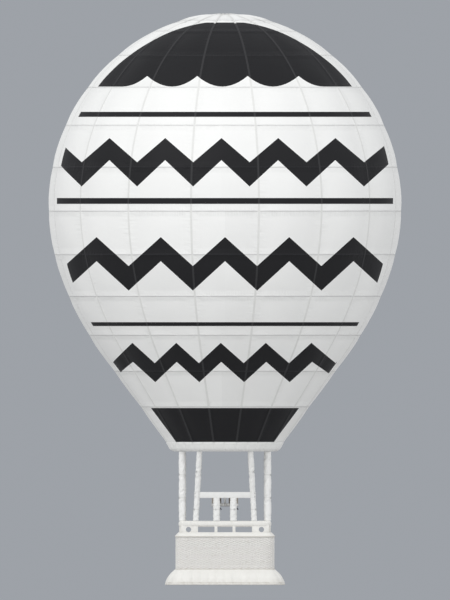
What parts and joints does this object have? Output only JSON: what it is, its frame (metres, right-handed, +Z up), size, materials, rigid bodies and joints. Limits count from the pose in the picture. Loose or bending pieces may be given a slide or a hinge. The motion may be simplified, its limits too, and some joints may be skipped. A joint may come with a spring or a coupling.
{
  "type": "hot air balloon",
  "caption": "Inflated teardrop cloth envelope with scalloped crown, zigzag bands and vent, above a tilting burner and an open wicker basket on padded uprights",
  "frame": {"origin": "the middle of the envelope's widest ring, on the balloon's upright axis, where the air holds it up", "axes": "+Z up, front towards -Y, +X to the right as seen from the front"},
  "size_m": [8.824, 8.824, 14.2867],
  "materials": {
    "white_cloth": "matt woven nylon cloth",
    "dark_cloth": "matt woven nylon cloth",
    "sleeve": "padded cloth sleeve",
    "wicker": "woven willow, painted white",
    "leather": "smooth stitched hide, white",
    "wood": "sealed plywood and timber",
    "steel": "brushed stainless steel",
    "gas": "satin aluminium"
  },
  "bodies": {
    "root": {"crown_panel": "dark_cloth", "crown_ring_tapes": "white_cloth", "flared_foot": "leather", "floor": "wood", "floor_bearer_1": "wood", "floor_bearer_2": "wood", "floor_bearer_3": "wood", "frame_post_back_left": "sleeve", "frame_post_back_right": "sleeve", "frame_post_front_left": "sleeve", "frame_post_front_right": "sleeve", "gas_cylinder_back_left": "gas", "gas_cylinder_back_right": "gas", "gas_cylinder_front_left": "gas", "gas_cylinder_front_right": "gas", "load_frame": "steel", "mouth_ring": "white_cloth", "outer_post_back_left": "sleeve", "outer_post_back_right": "sleeve", "outer_post_front_left": "sleeve", "outer_post_front_right": "sleeve", "panel_above_zigzag_lower": "white_cloth", "panel_above_zigzag_middle": "white_cloth", "panel_above_zigzag_upper": "white_cloth", "panel_below_zigzag_lower": "white_cloth", "panel_below_zigzag_middle": "white_cloth", "panel_below_zigzag_upper": "white_cloth", "riser_back_left": "sleeve", "riser_back_right": "sleeve", "riser_front_left": "sleeve", "riser_front_right": "sleeve", "short_post_back_left": "sleeve", "short_post_back_right": "sleeve", "short_post_front_left": "sleeve", "short_post_front_right": "sleeve", "shoulder_panel": "white_cloth", "skirt": "dark_cloth", "stripe_lower": "dark_cloth", "stripe_middle": "dark_cloth", "stripe_upper": "dark_cloth", "top_rail": "leather", "wicker_wall": "wicker", "zigzag_lower": "dark_cloth", "zigzag_middle": "dark_cloth", "zigzag_upper": "dark_cloth"},
    "vent": {"parachute_vent": "white_cloth"},
    "gimbal": {"gimbal_frame": "steel"},
    "burner": {"burner_block": "steel", "burner_can_left": "steel", "burner_can_right": "steel"}
  },
  "joints": [
    {"name": "vent_slide", "type": "slide", "parent": "root", "child": "vent", "axis": [0, 0, 1], "range_m": [-0.6, 0], "stiffness_N_per_m": 200, "springref_m": 0.5},
    {"name": "gimbal_tilt", "type": "hinge", "parent": "root", "child": "gimbal", "pos_m": [0, 0, -7.275], "axis": [1, 0, 0], "range_deg": [-10, 10]},
    {"name": "burner_tilt", "type": "hinge", "parent": "gimbal", "child": "burner", "pos_m": [0, 0, -7.275], "axis": [0, 1, 0], "range_deg": [-10, 10]}
  ]
}
